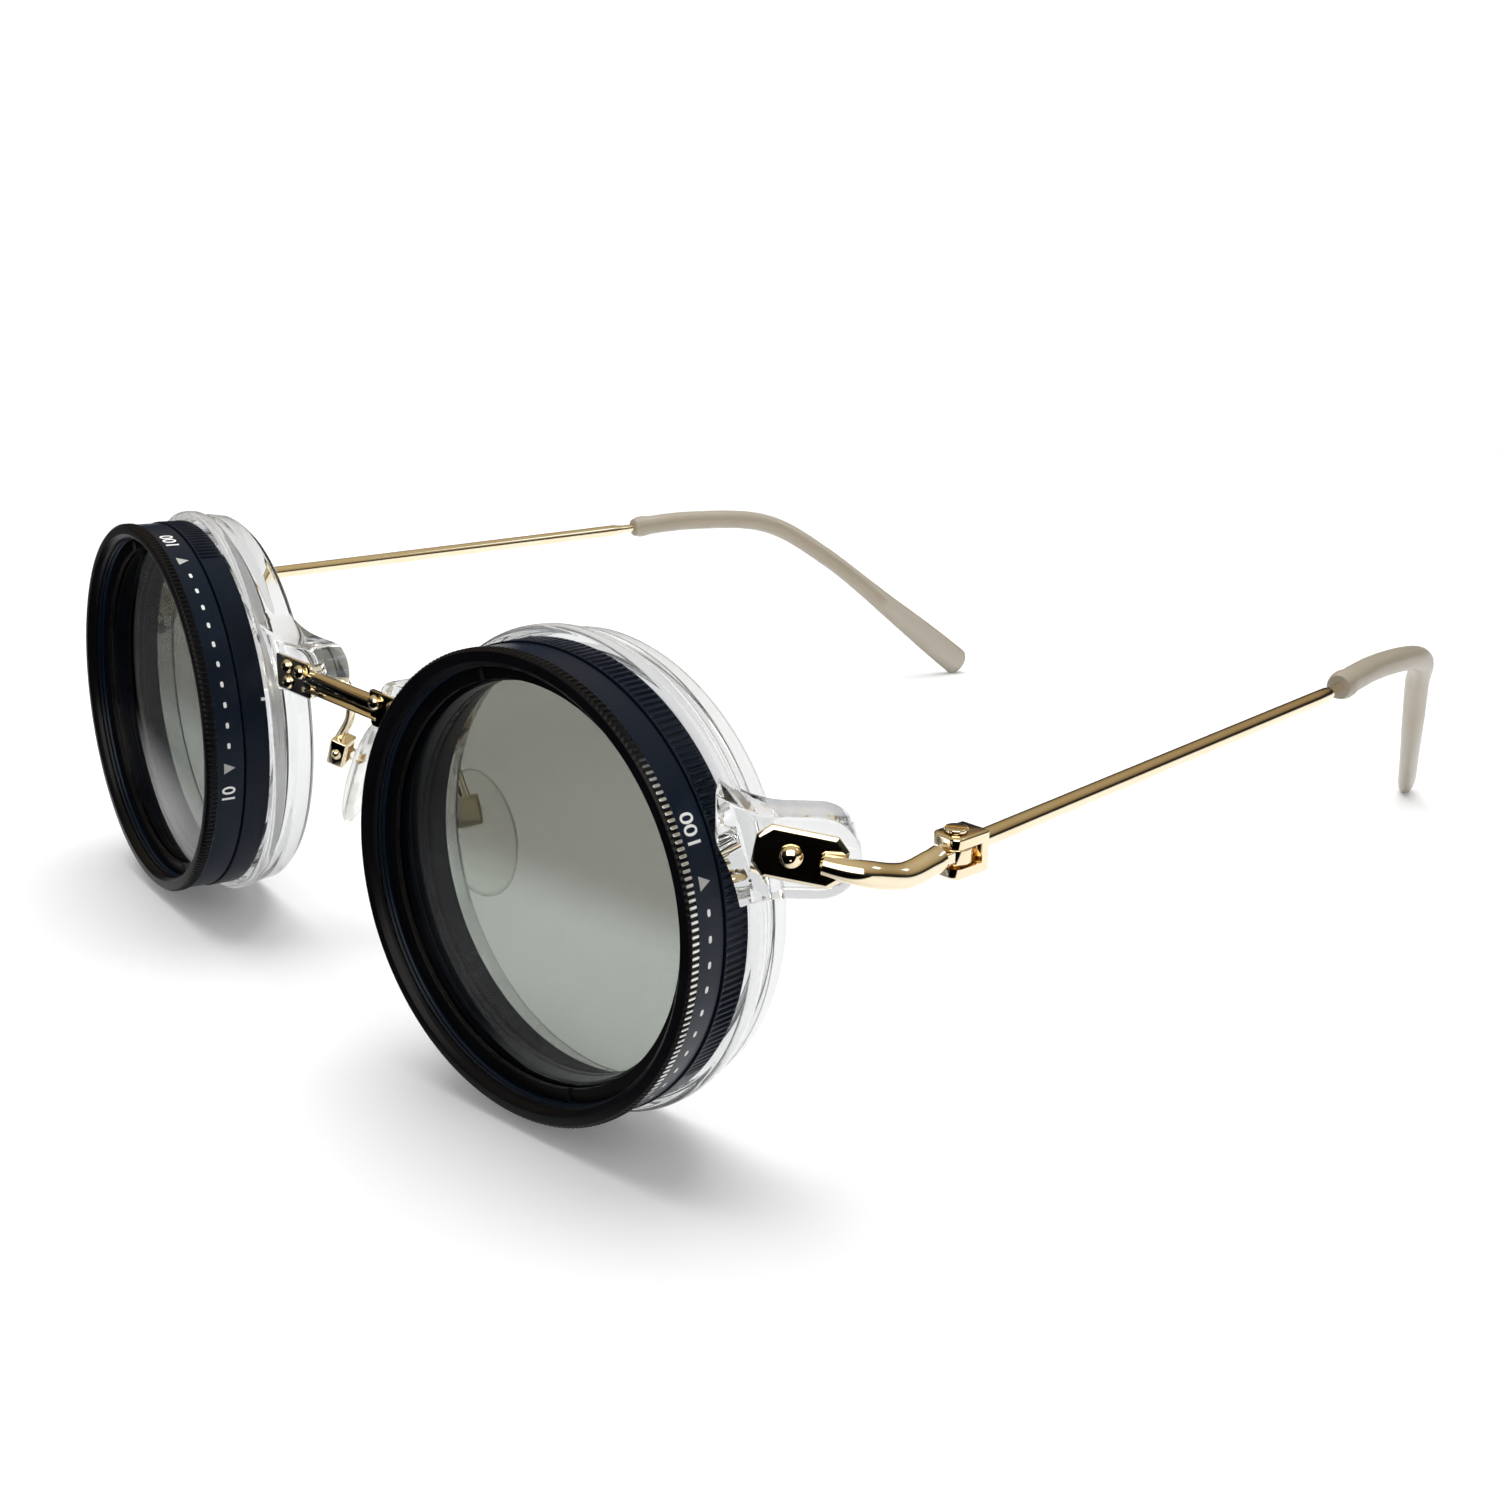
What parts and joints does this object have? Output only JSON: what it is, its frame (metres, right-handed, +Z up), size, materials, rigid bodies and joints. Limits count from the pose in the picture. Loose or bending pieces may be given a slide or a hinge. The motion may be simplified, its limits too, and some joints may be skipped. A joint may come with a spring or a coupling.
{
  "type": "variable tint sunglasses",
  "caption": "Round clear frame with a turning double polariser filter on each eye, wire temples, metal bridge and clear nose pads.",
  "frame": {"origin": "bottom centre of the bounding box, on the surface that the rims and temple tips stand on", "axes": "+X towards the wearer's left, -Y the way the lenses look, +Y back along the temples, +Z up"},
  "size_m": [0.128, 0.1444, 0.0419],
  "materials": {
    "acetate": "clear polished acetate",
    "anodised": "satin black anodised",
    "filter_glass": "polished greenish grey polariser",
    "steel": "spring steel",
    "gold": "polished pale gold plate",
    "tip_sleeve": "smoky translucent, satin gloss",
    "silicone": "clear soft silicone"
  },
  "bodies": {
    "frame": {"bridge": "gold", "rim_left": "acetate", "rim_right": "acetate", "mount_ring_left": "anodised", "mount_ring_right": "anodised", "rear_ring_left": "anodised", "rear_ring_right": "anodised", "rear_glass_left": "filter_glass", "rear_glass_right": "filter_glass", "rear_retaining_ring_left": "anodised", "rear_retaining_ring_right": "anodised", "snap_ring_left": "steel", "snap_ring_right": "steel", "end_piece_left": "gold", "end_piece_right": "gold", "end_piece_rivet_left": "gold", "end_piece_rivet_right": "gold", "pad_arm_left": "gold", "pad_arm_right": "gold", "pad_screw_left": "gold", "pad_screw_right": "gold", "bridge_rivet_inner_left": "gold", "bridge_rivet_inner_right": "gold", "bridge_rivet_outer_left": "gold", "bridge_rivet_outer_right": "gold", "bridge_rivet_lower_left": "gold", "bridge_rivet_lower_right": "gold"},
    "front_filter_left": {"front_ring_left": "anodised", "front_glass_left": "filter_glass", "front_retaining_ring_left": "anodised", "stop_pin_left": "steel"},
    "front_filter_right": {"front_ring_right": "anodised", "front_glass_right": "filter_glass", "front_retaining_ring_right": "anodised", "stop_pin_right": "steel"},
    "temple_left": {"temple_arm_left": "gold", "temple_tip_left": "tip_sleeve", "hinge_screw_left": "gold"},
    "temple_right": {"temple_arm_right": "gold", "temple_tip_right": "tip_sleeve", "hinge_screw_right": "gold"},
    "nose_pad_left": {"nose_pad_left": "silicone"},
    "nose_pad_right": {"nose_pad_right": "silicone"}
  },
  "joints": [
    {"name": "tint_turn_left", "type": "hinge", "parent": "frame", "child": "front_filter_left", "pos_m": [0.0344, -0.06993, 0.02119], "axis": [0.1097, -0.9934, 0.0332], "range_deg": [0, 70]},
    {"name": "tint_turn_right", "type": "hinge", "parent": "frame", "child": "front_filter_right", "pos_m": [-0.0344, -0.06993, 0.02119], "axis": [-0.1097, -0.9934, 0.0332], "range_deg": [-47, 23]},
    {"name": "temple_fold_left", "type": "hinge", "parent": "frame", "child": "temple_left", "pos_m": [0.06251, -0.04809, 0.02737], "axis": [0, 0, 1], "range_deg": [0, 82]},
    {"name": "temple_fold_right", "type": "hinge", "parent": "frame", "child": "temple_right", "pos_m": [-0.06251, -0.04809, 0.02737], "axis": [0, 0, -1], "range_deg": [0, 74]},
    {"name": "pad_rock_left", "type": "hinge", "parent": "frame", "child": "nose_pad_left", "pos_m": [0.0123, -0.05843, 0.0197], "axis": [-0.5056, -0.8468, -0.165], "range_deg": [-8, 8]},
    {"name": "pad_rock_right", "type": "hinge", "parent": "frame", "child": "nose_pad_right", "pos_m": [-0.0123, -0.05843, 0.0197], "axis": [0.5056, -0.8468, -0.165], "range_deg": [-8, 8]}
  ]
}
